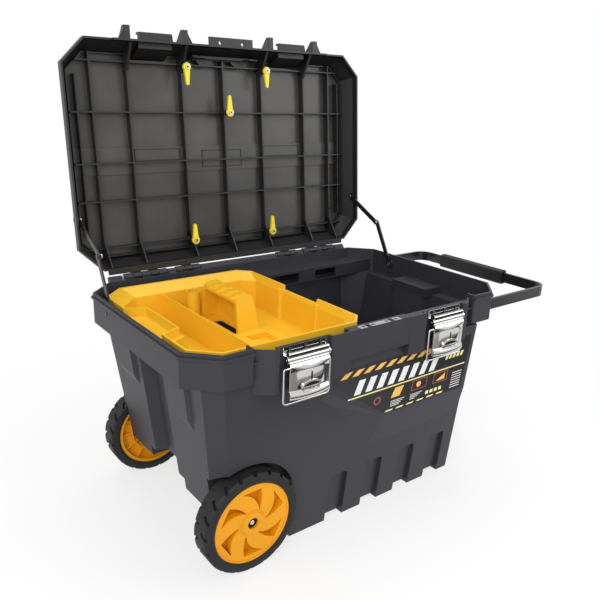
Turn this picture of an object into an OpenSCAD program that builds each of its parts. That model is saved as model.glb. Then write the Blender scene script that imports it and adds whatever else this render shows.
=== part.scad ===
// Rolling tool chest: tapered tub with a stepped collar, ribbed lid standing open on folding stays,
// lift-out tote tray, pull-out handle, two wheels and two draw latches.
// +X runs along the chest to the handle end, -Y is the front, +Z is up, and the floor is z = 0.

/* [Chest] */
// Length of the collar over its end faces
rim_len = 690; // [660:5:740]
// Depth of the collar over its front and back faces
rim_dep = 425; // [410:5:460]
// Height of the rim above the floor
rim_z = 394; // [384:2:420]
// Height of the collar band under the rim
collar_h = 56; // [54:1:62]
// Leg of the cut across each corner of the collar
corner_cut = 46; // [42:1:50]
// Moulded wall thickness of the chest
wall = 4; // [3:0.5:5]
// How far the collar stands out past the tub at each end
end_overhang = 27; // [24:1:30]
// How far the collar stands out past the tub at front and back
side_overhang = 8; // [7:1:10]
// How far each end of the tub draws in between collar and floor
end_draft = 43; // [36:1:48]
// How far front and back draw in between collar and floor
side_draft = 35; // [30:1:38]
// Leg of the cut across the tub's corners at the wheel end
tub_cut_wheels = 24; // [20:1:28]
// Leg of the cut across the tub's corners at the handle end, up at the collar
tub_cut_handle = 46; // [40:1:48]
// The same cut down at the floor
tub_cut_floor = 5; // [4:1:10]
// How far the front wall's upper panel stands out
panel_out = 6; // [4:0.5:7]
// Height of the thin lip that runs round the collar
lip_h = 4; // [3:0.5:5]
// How far the lip stands out
lip_out = 3; // [2:0.5:4]
// Depth of the upright bay in each end wall
bay_depth = 20; // [16:1:22]
// Width of the bay at its mouth
bay_w = 92; // [80:2:104]

/* [Feet] */
// Number of upright grooves along the lower front and back
groove_count = 4; // [3:1:4]
// Distance from one groove to the next
groove_pitch = 87; // [80:1:90]
// Width of one groove
groove_w = 42; // [36:1:46]
// Depth of the grooves, which is also how far the feet stand below the floor panel
groove_depth = 8; // [6:0.5:10]
// Height of the grooves above the floor
groove_top = 97; // [88:1:102]

/* [Front collar] */
// How far the middle of the front stands out past the corner blocks
front_out = 10; // [9:0.5:11]
// Half width of the middle panel
panel_hw = 68; // [62:1:72]
// Inner edge of a latch pocket, from the middle of the front
pocket_in = 110; // [108:1:111]
// Outer edge of a latch pocket, from the middle of the front
pocket_out = 206; // [205:1:208]
// Outer edge of the shoulder beside a pocket
shoulder_out = 217; // [214:1:220]
// Inner edge of a corner block, from the middle of the front
corner_in = 247; // [242:1:252]
// Depth of the latch pockets
pocket_depth = 8; // [7:0.5:9]
// Depth of the channel beside each corner block
channel_depth = 12; // [9:1:14]
// How far the front edge between the corners lies below the rim
front_dip = 6; // [5:0.5:8]
// How far the front blocks hang below the collar
block_drop = 22; // [16:1:26]
// Diameter of the padlock holes in the middle panel and in the lid tab
padlock_d = 7; // [6:0.5:7.5]
// Distance between the padlock holes
padlock_gap = 52; // [44:1:60]

/* [Lid] */
// Height of the lid shell
lid_h = 54; // [50:1:60]
// Wall thickness of the lid shell
lid_wall = 3.5; // [3:0.5:4]
// Gap between the closed lid and the rim
lid_gap = 0.5; // [0.4:0.1:1]
// How far the lid's sides lie inside the collar's
lid_inset = 3; // [2:0.5:3]
// Height of the upright band round the lid
lid_band = 14; // [12:1:18]
// How far the lid draws in above its band
lid_taper = 20; // [16:1:22]
// Angle that the lid stands open
lid_open = 95; // [90:1:100]
// Height of the ribs inside the lid
rib_h = 16; // [12:1:18]
// Thickness of the ribs inside the lid
rib_t = 2.6; // [2:0.2:3.4]
// How far the hinge axis lies behind the collar
hinge_back = 13.5; // [12:0.5:15]
// Diameter of the hinge pins
hinge_pin_d = 5; // [4:0.5:6]
// Outside diameter of the hinge knuckles
knuckle_d = 14; // [12:0.5:15]

/* [Stays] */
// Width of a stay link
stay_w = 10; // [8:0.5:12]
// Thickness of a stay link
stay_t = 3; // [2.5:0.5:3.5]
// Diameter of the stay pins
stay_pin_d = 5; // [4:0.5:6]

/* [Clips] */
// Length of a turn clip from its screw to its tip
clip_len = 34; // [28:1:38]
// Thickness of a turn clip
clip_t = 5; // [4:0.5:6]
// Height of the posts that carry the clips
clip_post_h = 36; // [30:1:38]
// Diameter of the clip screws
clip_screw_d = 4; // [3:0.5:5]

/* [Tray] */
// Length of the tote tray
tray_len = 320; // [306:2:330]
// Height of the tote tray
tray_h = 72; // [66:1:78]
// Wall thickness of the tote tray
tray_wall = 3; // [2.5:0.5:4]
// Width of the tray's carrying grip
grip_w = 36; // [30:1:42]
// Length of the tray's carrying handle
tote_handle_len = 148; // [136:2:156]

/* [Pull handle] */
// How far the pull handle stands out past the collar
handle_out = 192; // [172:2:210]
// Height of the flat bar
bar_h = 22; // [18:1:24]
// Thickness of the flat bar
bar_t = 6; // [5:0.5:8]
// Outer radius of the two bends
bend_r = 32; // [26:1:36]
// Length of the grip sleeve
sleeve_len = 182; // [160:2:200]

/* [Wheels] */
// Diameter of the wheels over the tread
wheel_d = 176; // [166:2:180]
// Width of the wheels
wheel_w = 40; // [36:1:42]
// Diameter of the wheel hub disc
hub_d = 142; // [136:1:148]
// Diameter of the axle
axle_d = 12; // [10:0.5:14]
// Distance of the axle from the middle of the chest
axle_x = 239; // [234:1:244]
// Number of tread lugs on each shoulder
lug_count = 20; // [16:1:22]

/* [Latches] */
// Distance of each latch from the middle of the front
latch_x = 158; // [157:0.5:159]
// Width of the latch lever
lever_w = 76; // [72:1:78]
// Length of the latch lever below its pin
lever_len = 63; // [60:1:66]
// Diameter of the lever pin
lever_pin_d = 4; // [3:0.5:4.5]
// Diameter of the bail wire
wire_d = 3.6; // [3:0.2:4]
// Length of the bail from its pivot to its crossbar
bail_len = 58; // [56:1:62]

/* [Hidden] */
$fn = 48;

// Colours as moulded, plated or painted
charcoal = [0.29, 0.29, 0.31];
dark_grey = [0.13, 0.13, 0.14];
tray_yellow = [1.0, 0.70, 0.08];
hub_yellow = [0.98, 0.64, 0.10];
clip_yellow = [0.95, 0.85, 0.05];
tyre_black = [0.09, 0.09, 0.09];
chrome = [0.80, 0.80, 0.82];
handle_black = [0.06, 0.06, 0.07];

// Clearances: running fits of pins, loose seats, and margins of through cuts
run_fit = 0.05;
seat_gap = 0.2;
slide_gap = 0.3;
over = 1;

// Collar and tub
rim_hx = rim_len / 2;
rim_hy = rim_dep / 2;
collar_z = rim_z - collar_h;
tub_hx = rim_hx - end_overhang;
tub_hy = rim_hy - side_overhang;
floor_z = groove_depth;
step_z = groove_top + wall;
front_z = rim_z - front_dip;
front_y = -rim_hy - front_out;
lip_z = rim_z - 10;
edge_r = 3;
bay_flank = 10;
groove_r = 7;
bay_step_z = collar_z + 18;
shoulder_gap = 20;
shoulder_w = 70;
shoulder_z = 240;
shoulder_top = 265;

// Raised front panel: where its slopes start at the wall, and where they end at its face
slope_left = 112;
slope_z = 264;
slope_turn = 18;
slope_foot = 23;
slope_top = 99;
face_left = 98;
face_z = 282;
face_turn = 41;

// Wheels and the raised floor over the axle
wheel_r = wheel_d / 2;
axle_z = wheel_r;
wheel_face = rim_hy - 8.5;
wheel_clear = 10;
well_r = wheel_r + wheel_clear;
well_in = wheel_face - wheel_w - 8;
well_end = axle_x - well_r;
well_ledge_up = 66;
well_ledge = axle_z + well_ledge_up;
end_floor = axle_z + 8;
arch_floor = end_floor + 20;
arch_hw = 66;
axle_block_w = 40;
axle_block_t = 24;
axle_block_wall = 8;
hub_recess = 9;
push_nut_t = 4;

// Handle channel along the collar
bar_y = rim_hy - 31.5;
bar_drop = 40;
bar_z = rim_z - bar_drop;
rail_wall = 3;
rail_in = bar_y - 11.5;
rail_top = bar_z + bar_h / 2 + 5;
bar_reach = rim_hx + handle_out;
stop_d = bar_t;
stop_x = rim_hx + rim_hy - corner_cut - wall * sqrt(2) - bar_y - bar_t - stop_d / 2 - 2 * slide_gap;
bar_end = stop_x - stop_d - 2;
sleeve_y = 22;
window_1 = [50, 122];
window_2 = [167, 227];

// Lid, in its closed place
lid_hx = rim_hx - lid_inset;
lid_hy = rim_hy - lid_inset;
lid_z = rim_z + lid_gap;
lid_top = lid_z + lid_h;
taper_z = lid_z + lid_band;
panel_z = lid_top - lid_wall;
rib_ends = 20;
rib_end_in = 62;
rib_front_in = 35.5;
rib_back_in = 19.5;
rib_end_x = lid_hx - rib_end_in;
rib_front_y = -lid_hy + rib_front_in;
rib_back_y = lid_hy - rib_back_in;
rib_far_x = 208;
rib_near_x = 94;
rib_hook_y = -83;
lid_rib_x = [-rib_end_x, -rib_far_x, -rib_near_x, 0, rib_near_x, rib_far_x, rib_end_x];
lid_rib_y = [rib_front_y, rib_hook_y, 11, 82, rib_back_y];
side_rib_in = 59.5;
side_rib_hy = lid_hy - side_rib_in;
gusset_in = 50;
bracket_hw = 75;
skirt_z = front_z + lid_gap;
hinge_y = rim_hy + hinge_back;
hinge_z = rim_z + 2;
knuckle_r = knuckle_d / 2;
knuckle_w = 17;
knuckle_gap = 1;
knuckle_sets = [[98, 3], [172, 5]];
pin_in = 96;
pin_out = 172 + 5 * (knuckle_w + knuckle_gap) + 2;
tab_hw = 50;
tab_t = 5;
padlock_y = -lid_hy - padlock_d / 2 - 1.2;
catch_hw = 34;
catch_out = 15;
horn_out = 24;
horn_w = 12;

// Stay pivots as y and z places, with the lid open
stay_body_in = 107.5;
stay_body_low = 22;
stay_lid_in = 115.7;
stay_lid_up = 14;
stay_knee_in = 71;
stay_knee_up = 66;
stay_body = [rim_hy - stay_body_in, rim_z - stay_body_low];
stay_lid_closed = [hinge_y - stay_lid_in, hinge_z + stay_lid_up];
stay_lid = opened(stay_lid_closed);
stay_knee = [hinge_y - stay_knee_in, hinge_z + stay_knee_up];
stay_layer_gap = 0.4;
stay_end_gap = 4;
stay_out = rim_hx - wall - stay_end_gap;
stay_mid = stay_out - stay_t - stay_layer_gap;
stay_in = stay_mid - stay_t;
stay_boss_d = 16;
pin_head_t = 2;

// Turn clips as x, y and the direction of the tip, on the closed lid
clip_front_in = 41.5;
clip_back_in = 37.5;
clip_front_y = -lid_hy + clip_front_in;
clip_back_y = lid_hy - clip_back_in;
clip_places = [
  [-rib_near_x, clip_front_y, 90], [rib_near_x, clip_front_y, 90], [0, rib_hook_y, -90],
  [-rib_near_x - 2, clip_back_y, -90], [rib_near_x + 4, clip_back_y, -90]
];
clip_head_r = 8;
clip_tip_r = 3;
clip_z = panel_z - clip_post_h;
screw_head_t = 2.5;

// Tray, hung by its flange on the rails
tray_gap = 15;
tray_left = -(rim_hx - wall - tray_gap);
tray_right = tray_left + tray_len;
tray_hy = rim_hy - 22.5;
tray_seat = rail_top + seat_gap;
tray_top = rim_z - 6;
tray_floor = tray_top - tray_h;
tray_low_hy = rail_in - 4;
tray_low_left = -(tub_hx - wall - 6);
tray_low_right = tray_right - 4;
tray_cut_left = corner_cut - 6;
tray_cut_right = 24;
notch_hw = bay_w / 2 + 28;
notch_in = 34;
notch_low = notch_in - 12;
dip_y = [-58, 46];
dip_h = 9;
pilaster_r = 6;
deck_h = 13;
deck_pocket_left = 20;
deck_pocket_right = 23;
deck_pocket_front = 63;
deck_pocket_back = 18;
hand_slot_left = 15;
hand_slot_right = 3;
hand_slot_front = 20;
hand_slot_back = 40;
pot_r = 13;
pot_left = 40;
pot_back = 8;
tote_in = 207;
tote_x = tray_left + tote_in;
tote_front = -2;
tote_back = tote_front + tote_handle_len;
tote_top = tray_top + 8;
tote_base_w = grip_w + 10;
tote_lean = 22;
divider_in = 114;
divider_x = tray_left + divider_in;

// Latches, about the lever pin
latch_face = -front_y - pocket_depth;
pin_y = -(latch_face + 10);
pin_z = rim_z - 25;
plate_y = -latch_face - pin_y;
plate_t = 2;
lever_hw = lever_w / 2;
lever_front = 6;
ear_t = 2.5;
ear_in = lever_hw + 0.5;
ear_r = 6;
base_hw = ear_in + ear_t;
base_up = front_z - pin_z - 0.5;
bar_up = 8.4;
bar_nose = 7;
bail_drop = 14.5;
bail_hx = base_hw + 1.8 + wire_d / 2;
bail_corner = 6;
flange_t = 1.6;
screw_d = 3;
screw_up = base_up - 3.5;
screw_places = [-lever_hw + 8, 0, lever_hw - 8];

// A point of the closed lid, y and z, carried round to the open lid
function opened(p) = let (dy = p[0] - hinge_y, dz = p[1] - hinge_z)
  [hinge_y + dy * cos(lid_open) + dz * sin(lid_open), hinge_z - dy * sin(lid_open) + dz * cos(lid_open)];

// Octagon of half sizes hx and hy with corner legs c
function octagon(hx, hy, c) = [
  [-hx + c, -hy], [hx - c, -hy], [hx, -hy + c], [hx, hy - c],
  [hx - c, hy], [-hx + c, hy], [-hx, hy - c], [-hx, -hy + c]
];

// Corner leg that keeps a wall even after an inset
function inset_cut(c, inset) = max(1, c - inset * (2 - sqrt(2)));

// Half sizes of the tapered tub at a height
function tub_x(z) = tub_hx - end_draft * (collar_z - z) / collar_z;
function tub_y(z) = tub_hy - side_draft * (collar_z - z) / collar_z;

// Corner leg at the handle end, which grows from the floor to the collar
function handle_cut(z) = tub_cut_floor + (tub_cut_handle - tub_cut_floor) * z / collar_z;

// Plan of the tub at a height, drawn in by an inset
function tub_plan(z, inset) = let (
    x = tub_x(z) - inset,
    y = tub_y(z) - inset,
    a = inset_cut(tub_cut_wheels, inset),
    b = inset_cut(handle_cut(z), inset)
  ) [[-x + a, -y], [x - b, -y], [x, -y + b], [x, y - b], [x - b, y], [-x + a, y], [-x, y - a], [-x, -y + a]];

// Left edge of a groove, counted from the handle end
function groove_x(i) = tub_x(0) - 34 - groove_w - i * groove_pitch;

// Solid between two outlines with as many points
module loft(z0, low, z1, high) {
  n = len(low);
  polyhedron(
    points = concat([for (p = low) [p[0], p[1], z0]], [for (p = high) [p[0], p[1], z1]]),
    faces = concat(
      [[for (i = [0:n - 1]) i]],
      [[for (i = [n - 1:-1:0]) n + i]],
      [for (i = [0:n - 1]) [i, n + i, n + (i + 1) % n, (i + 1) % n]]
    )
  );
}

// Extrusion of a y-z outline along X, starting at x
module along_x(x, length) {
  translate([x, 0, 0]) rotate([90, 0, 90]) linear_extrude(length) children();
}

// Round bar along X or Y through a point
module rod_x(x0, x1, y, z, d) {
  translate([x0, y, z]) rotate([0, 90, 0]) cylinder(h = x1 - x0, d = d);
}

module rod_y(y0, y1, x, z, d) {
  translate([x, y0, z]) rotate([-90, 0, 0]) cylinder(h = y1 - y0, d = d);
}

// Box between two corners
module block(low, high) {
  translate(low) cube(high - low);
}

module both_sides() {
  children();
  mirror([0, 1, 0]) children();
}

module both_ends() {
  children();
  mirror([1, 0, 0]) children();
}

// Carries the closed lid to its open place
module open_lid() {
  translate([0, hinge_y, hinge_z]) rotate([-lid_open, 0, 0]) translate([0, -hinge_y, -hinge_z]) children();
}

// Tub

module tub_loft(inset, z0, z1) {
  loft(z0, tub_plan(z0, inset), z1, tub_plan(z1, inset));
}

// Upright bay in the handle end, with a wall of the given growth round it
module end_bay(grow) {
  top = collar_z + grow;
  outline = function(z) [
    [tub_x(z) - bay_depth - grow, -bay_w / 2 + bay_flank - grow],
    [tub_x(z) + over, -bay_w / 2 - grow],
    [tub_x(z) + over, bay_w / 2 + grow],
    [tub_x(z) - bay_depth - grow, bay_w / 2 - bay_flank + grow]
  ];
  loft(-over, outline(-over), top, outline(top));
}

// Well for the front wheel: an arch, its straight sides and a ledge out to the end
module wheel_well(grow) {
  r = well_r + grow;
  rod_y(-rim_hy, -well_in + grow, -axle_x, axle_z, 2 * r);
  block([-axle_x - r, -rim_hy, -over], [-axle_x + r, -well_in + grow, axle_z]);
  block([-rim_hx, -rim_hy, -over], [-axle_x, -well_in + grow, well_ledge + grow]);
}

// Raised floor over the axle, open below
module axle_tunnel(grow) {
  block([-rim_hx, -rim_hy, -over], [-well_end + grow, rim_hy, end_floor + grow]);
  block([-rim_hx, -arch_hw - grow, -over], [-well_end + grow, arch_hw + grow, arch_floor + grow]);
}

// Grooves that run up the front, under the floor and up the back
module foot_grooves() {
  for (i = [0:groove_count - 1]) {
    difference() {
      translate([groove_x(i), rim_hy, 0]) rotate([90, 0, 0]) linear_extrude(2 * rim_hy)
        offset(r = groove_r, $fn = 24) offset(delta = -groove_r)
          translate([0, -2 * groove_r]) square([groove_w, groove_top + 2 * groove_r]);
      tub_loft(groove_depth, floor_z, collar_z);
    }
  }
}

// Raised panel on the upper front wall, with a slanted corner and a long slope below
module front_panel() {
  lean = atan(side_draft / collar_z);
  top = collar_z - 2;
  right = tub_x(0) - 8;
  foot = groove_top + slope_foot;
  face = groove_top + slope_top;
  low = [[-slope_left, top], [-slope_left, slope_z], [slope_turn, foot], [right, foot], [right, top]];
  high = [[-face_left, top], [-face_left, face_z], [face_turn, face], [right, face], [right, top]];
  translate([0, -tub_y(0), 0]) rotate([lean, 0, 0]) rotate([90, 0, 0]) loft(-wall / 2, low, panel_out, high);
}

// Shoulder of the end wall beside the bay, which slopes back to the wall below
module end_shoulder() {
  lean = atan(end_draft / collar_z);
  top = (collar_z + wall / 2) / cos(lean);
  near = bay_w / 2 + shoulder_gap;
  far = near + shoulder_w;
  low = [[near, shoulder_z], [far, shoulder_z], [far + 4, top], [near, top]];
  high = [[near + 4, shoulder_top], [far - 6, shoulder_top], [far - 2, top], [near + 4, top]];
  translate([tub_x(0), 0, 0]) rotate([0, lean, 0]) rotate([90, 0, 90]) loft(-wall / 2, low, panel_out, high);
}

module tub_outside() {
  difference() {
    tub_loft(0, 0, collar_z + wall);
    foot_grooves();
    axle_tunnel(0);
    both_sides() wheel_well(0);
    both_ends() end_bay(0);
  }
  front_panel();
  both_ends() both_sides() end_shoulder();
}

module tub_inside() {
  difference() {
    union() {
      tub_loft(groove_depth + wall, floor_z + wall, step_z);
      tub_loft(wall, step_z - over / 2, collar_z + wall + over);
    }
    axle_tunnel(wall);
    both_sides() wheel_well(wall);
    both_ends() end_bay(wall);
  }
}

// Half of the collar's front edge, from the middle to the corner block
function front_half() = [
  [panel_hw, front_y + 2], [panel_hw + 2, front_y], [pocket_in - 2, front_y],
  [pocket_in, front_y + pocket_depth], [pocket_out, front_y + pocket_depth],
  [pocket_out + 2, front_y], [shoulder_out, front_y],
  [corner_in - 1, -rim_hy + channel_depth], [corner_in, -rim_hy]
];

// Plan of the collar, with the stepped front edge
function collar_plan() = let (half = front_half(), last = len(half) - 1) concat(
  [for (i = [last:-1:0]) [-half[i][0], half[i][1]]],
  half,
  [for (i = [1:7]) octagon(rim_hx, rim_hy, corner_cut)[i]],
  [octagon(rim_hx, rim_hy, corner_cut)[0]]
);

module collar_outline() {
  offset(r = edge_r, $fn = 24) offset(delta = -edge_r) polygon(collar_plan());
}

module collar_inside() {
  offset(delta = -wall) collar_outline();
}

module collar_wall() {
  difference() {
    collar_outline();
    collar_inside();
  }
}

// Band of the plan along the front, between two distances from the middle
module front_band(x0, x1) {
  depth = front_out + channel_depth + 2 * wall;
  for (side = [0, 1]) mirror([side, 0]) translate([x0, front_y - over]) square([x1 - x0, depth + over]);
}

module collar() {
  difference() {
    union() {
      translate([0, 0, collar_z]) linear_extrude(wall) collar_outline();
      translate([0, 0, collar_z]) linear_extrude(collar_h) collar_wall();
      translate([0, 0, lip_z]) linear_extrude(lip_h) difference() {
        offset(delta = lip_out) polygon(octagon(rim_hx, rim_hy, corner_cut));
        polygon(octagon(rim_hx - wall / 2, rim_hy - wall / 2, corner_cut));
        front_band(-over, corner_in);
      }
      translate([0, 0, collar_z - block_drop]) linear_extrude(block_drop + over) {
        intersection() {
          collar_wall();
          front_band(panel_hw, corner_in - wall);
        }
        for (side = [0, 1]) mirror([side, 0])
          translate([panel_hw, front_y + 3]) square([wall, front_out + side_overhang]);
      }
    }
    translate([0, 0, front_z]) linear_extrude(2 * front_dip) front_band(-over, corner_in);
  }
}

// Closed box behind the middle panel, whose top takes a padlock
module padlock_box() {
  back = padlock_y + padlock_d / 2 + 2 * wall;
  block([-panel_hw, back - wall, collar_z], [panel_hw, back, front_z]);
  block([-panel_hw, front_y + wall, front_z - tab_t], [panel_hw, back, front_z]);
}

// Hollow step over a bay inside the collar, and the space under it
module bay_step() {
  hw = bay_w / 2 + wall;
  block([tub_hx - bay_depth - wall, -hw, collar_z], [rim_hx - wall / 2, hw, bay_step_z]);
}

module bay_step_space() {
  hw = bay_w / 2 - bay_flank;
  block([tub_hx - bay_depth, -hw, collar_z - over], [tub_hx - wall, hw, bay_step_z - wall]);
  block([tub_hx - wall - over, -hw, collar_z + wall], [rim_hx - wall, hw, bay_step_z - wall]);
}

// Channel along the collar that guides a handle arm and carries the tray
module handle_rail() {
  translate([0, 0, collar_z + wall - over / 2]) linear_extrude(rail_top - collar_z - wall + over / 2)
    intersection() {
      collar_inside();
      translate([-rim_hx, rail_in]) square([rim_len, rail_wall]);
    }
  translate([0, 0, rail_top - rail_wall]) linear_extrude(rail_wall) intersection() {
    offset(delta = over / 2) collar_inside();
    translate([-rim_hx, rail_in]) square([rim_len, rim_hy - rail_in]);
  }
}

module rail_windows() {
  for (w = [window_1, window_2])
    block(
      [w[0], rail_in - over, bar_z - bar_h / 2],
      [w[1], rail_in + rail_wall + over, bar_z + bar_h / 2]
    );
}

// Slot in the corner wall through which a handle arm slides
module arm_slot() {
  hw = bar_t / 2 + slide_gap;
  hh = bar_h / 2 + slide_gap;
  block([rim_hx - corner_cut, bar_y - hw, bar_z - hh], [rim_hx + over, bar_y + hw, bar_z + hh]);
}

// Hinge knuckles along one end of the back rim; even places are the chest's, odd ones the lid's
module knuckles(first) {
  for (set = knuckle_sets) {
    for (i = [first:2:set[1] - 1]) {
      x0 = set[0] + i * (knuckle_w + knuckle_gap);
      difference() {
        union() {
          rod_x(x0, x0 + knuckle_w, hinge_y, hinge_z, knuckle_d);
          along_x(x0, knuckle_w) polygon(first == 0 ? chest_web() : lid_web());
        }
        rod_x(x0 - over, x0 + knuckle_w + over, hinge_y, hinge_z, hinge_pin_d + 2 * run_fit);
      }
    }
  }
}

// Webs that join the knuckles to the collar and to the lid, as y and z points
function chest_web() = [
  [rim_hy - wall / 2, hinge_z - 34], [hinge_y + knuckle_r * 0.7, hinge_z - knuckle_r * 0.7],
  [hinge_y, hinge_z], [rim_hy + 3, rim_z - 2], [rim_hy - wall / 2, rim_z - 2]
];
function lid_web() = [
  [lid_hy - lid_wall / 2, lid_z + 1], [hinge_y, hinge_z], [hinge_y, hinge_z + knuckle_r],
  [lid_hy - lid_wall / 2, hinge_z + 24]
];

// Bearing blocks that carry the axle under the raised floor
module axle_blocks() {
  y0 = well_in - wall - axle_block_t;
  block(
    [-axle_x - axle_block_w / 2, y0, axle_z],
    [-axle_x + axle_block_w / 2, y0 + axle_block_t, end_floor + wall / 2]
  );
  rod_y(y0, y0 + axle_block_t, -axle_x, axle_z, axle_d + 2 * axle_block_wall);
}

module chest_tub() {
  color(charcoal) difference() {
    union() {
      difference() {
        union() {
          tub_outside();
          collar();
        }
        tub_inside();
      }
      padlock_box();
      both_sides() {
        handle_rail();
        axle_blocks();
      }
      both_ends() {
        bay_step();
        knuckles(0);
        rod_x(stay_out + seat_gap, rim_hx - wall / 2, stay_body[0], stay_body[1], stay_boss_d);
      }
    }
    both_sides() {
      rail_windows();
      arm_slot();
    }
    rod_y(-rim_hy, rim_hy, -axle_x, axle_z, axle_d + 2 * run_fit);
    both_ends() {
      bay_step_space();
      translate([padlock_gap / 2, padlock_y, front_z - tab_t - over])
        cylinder(h = tab_t + 2 * over, d = padlock_d);
      rod_x(stay_out - over, stay_out + wall, stay_body[0], stay_body[1], stay_pin_d + 2 * run_fit);
      latch_screw_holes();
    }
  }
}

// Lid, in its closed place

// Plan of the lid, drawn in by an inset
function lid_plan(inset) = octagon(lid_hx - inset, lid_hy - inset, inset_cut(corner_cut, lid_inset + inset));

module lid_pan() {
  drawn = lid_taper * (panel_z - taper_z) / (lid_top - taper_z);
  difference() {
    union() {
      translate([0, 0, lid_z]) linear_extrude(lid_band) polygon(lid_plan(0));
      loft(taper_z, lid_plan(0), lid_top, lid_plan(lid_taper));
    }
    translate([0, 0, lid_z - over]) linear_extrude(lid_band + over) polygon(lid_plan(lid_wall));
    loft(taper_z - over / 4, lid_plan(lid_wall), panel_z, lid_plan(lid_wall + drawn));
  }
}

// Grid of ribs under the lid panel, with a thicker band across the middle
module lid_ribs() {
  hx = lid_hx - rib_ends;
  hy = lid_hy - rib_ends;
  intersection() {
    union() {
      for (x = lid_rib_x) block([x - rib_t / 2, -hy, panel_z - rib_h], [x + rib_t / 2, hy, panel_z + over]);
      for (y = lid_rib_y) block([-hx, y - rib_t / 2, panel_z - rib_h], [hx, y + rib_t / 2, panel_z + over]);
      block([-hx, -18, panel_z - lid_wall], [hx, 33, panel_z + over]);
      for (x = [-1, 1] * (hx - 14))
        block([x - rib_t / 2, -side_rib_hy, panel_z - rib_h], [x + rib_t / 2, side_rib_hy, panel_z + over]);
      translate([0, 0, panel_z - rib_h / 2]) linear_extrude(rib_h / 2 + over) difference() {
        polygon(lid_plan(rib_ends));
        polygon(lid_plan(rib_ends + rib_t));
      }
    }
    translate([0, 0, panel_z - rib_h]) linear_extrude(rib_h + over / 2) polygon(lid_plan(rib_ends));
  }
}

// Gussets from the front wall to the long ribs, beside the latch catches
module lid_gussets() {
  wall_y = -lid_hy + lid_wall / 2;
  drawn = lid_taper * (panel_z - taper_z) / (lid_top - taper_z);
  for (i = [1, 2, 4, 5])
    along_x(lid_rib_x[i] - rib_t, 2 * rib_t) polygon([
      [wall_y, lid_z + 6], [wall_y + 4, lid_z + 6],
      [wall_y + gusset_in, panel_z - rib_h], [wall_y + gusset_in, panel_z + over / 2],
      [wall_y + drawn, panel_z + over / 2], [wall_y, taper_z]
    ]);
}

// Bracket with two hooks behind the padlock tab, and steps behind the catches
module lid_front_inside() {
  top = panel_z + over / 2;
  half = [
    [0, lid_z + 26], [bracket_hw - 31, lid_z + 26], [bracket_hw - 23, lid_z + 12],
    [bracket_hw - 13, lid_z + 12], [bracket_hw, lid_z + 16], [bracket_hw, top], [0, top]
  ];
  translate([0, -lid_hy + lid_taper + rib_t, 0]) rotate([90, 0, 0]) linear_extrude(rib_t) {
    polygon(half);
    mirror([1, 0]) polygon(half);
  }
  for (side = [-1, 1])
    along_x(side * latch_x - catch_hw, 2 * catch_hw) polygon([
      [-lid_hy + lid_wall / 2, taper_z - 4], [-lid_hy + 13, taper_z - 4], [-lid_hy + 30, top],
      [-lid_hy + lid_taper, top], [-lid_hy + lid_wall / 2, taper_z]
    ]);
}

module clip_posts() {
  for (p = clip_places) translate([p[0], p[1], clip_z])
    cylinder(h = clip_post_h + over, d = 2.6 * clip_screw_d);
}

module clip_bores() {
  for (p = clip_places) translate([p[0], p[1], clip_z - over])
    cylinder(h = clip_post_h - 2 * wall, d = clip_screw_d + 2 * run_fit);
}

// Hook for a bail between two horns, at both latches
module lid_catches() {
  wall_y = -lid_hy + lid_wall / 2;
  for (side = [-1, 1]) {
    along_x(side * latch_x - catch_hw, 2 * catch_hw) polygon([
      [wall_y, lid_z + 2], [-lid_hy - catch_out, lid_z + 6], [-lid_hy - catch_out, lid_z + lid_band + 4],
      [-lid_hy - catch_out + 4, lid_z + lid_band + 4], [-lid_hy - catch_out + 4, lid_z + lid_band - 2],
      [wall_y, lid_z + lid_band - 2]
    ]);
    for (edge = [-1, 1])
      along_x(side * latch_x + edge * (bail_hx + 14) - horn_w / 2, horn_w) polygon([
        [wall_y, lid_z], [-lid_hy - horn_out, lid_z], [-lid_hy - horn_out, lid_z + 8],
        [-lid_hy + lid_taper * 0.7, lid_z + lid_band + 0.8 * (lid_h - lid_band)], [wall_y, lid_z + lid_band]
      ]);
  }
}

// Skirt that fills the dip in the front rim, and the tab that takes a padlock
module lid_front() {
  block([-corner_in + over, -lid_hy, skirt_z], [corner_in - over, -lid_hy + lid_wall, lid_z + over]);
  difference() {
    block([-tab_hw, front_y - 2, skirt_z], [tab_hw, -lid_hy + lid_wall, skirt_z + tab_t]);
    both_ends() translate([padlock_gap / 2, padlock_y, skirt_z - over])
      cylinder(h = tab_t + 2 * over, d = padlock_d);
  }
}

module lid_stay_bosses() {
  at = stay_lid_closed;
  both_ends() rod_x(stay_mid + seat_gap, lid_hx - lid_wall / 2, at[0], at[1], stay_boss_d - 2);
}

module lid_stay_bores() {
  at = stay_lid_closed;
  both_ends() rod_x(stay_mid - over, stay_mid + wall + over, at[0], at[1], stay_pin_d + 2 * run_fit);
}

module lid_shell() {
  color(dark_grey) open_lid() difference() {
    union() {
      lid_pan();
      lid_ribs();
      lid_gussets();
      lid_front_inside();
      clip_posts();
      lid_catches();
      lid_front();
      lid_stay_bosses();
      both_ends() knuckles(1);
    }
    lid_stay_bores();
    clip_bores();
  }
}

module hinge_pin(side) {
  color(chrome) mirror([side, 0, 0]) rod_x(pin_in, pin_out, hinge_y, hinge_z, hinge_pin_d);
}

// Turn clips and their screws

module turn_clip(place) {
  at = [place[0], place[1], clip_z - clip_t - seat_gap];
  color(clip_yellow) open_lid() translate(at) rotate([0, 0, place[2]])
    difference() {
      union() {
        cylinder(h = clip_t, r = clip_head_r);
        linear_extrude(clip_t) polygon([
          [0, -clip_head_r * 0.8], [clip_len - clip_tip_r, -clip_tip_r],
          [clip_len - clip_tip_r, clip_tip_r], [0, clip_head_r * 0.8]
        ]);
        translate([clip_len - clip_tip_r, 0, 0]) cylinder(h = clip_t, r = clip_tip_r);
      }
      translate([0, 0, -over]) cylinder(h = clip_t + 2 * over, d = clip_screw_d + 2 * run_fit);
    }
}

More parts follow.
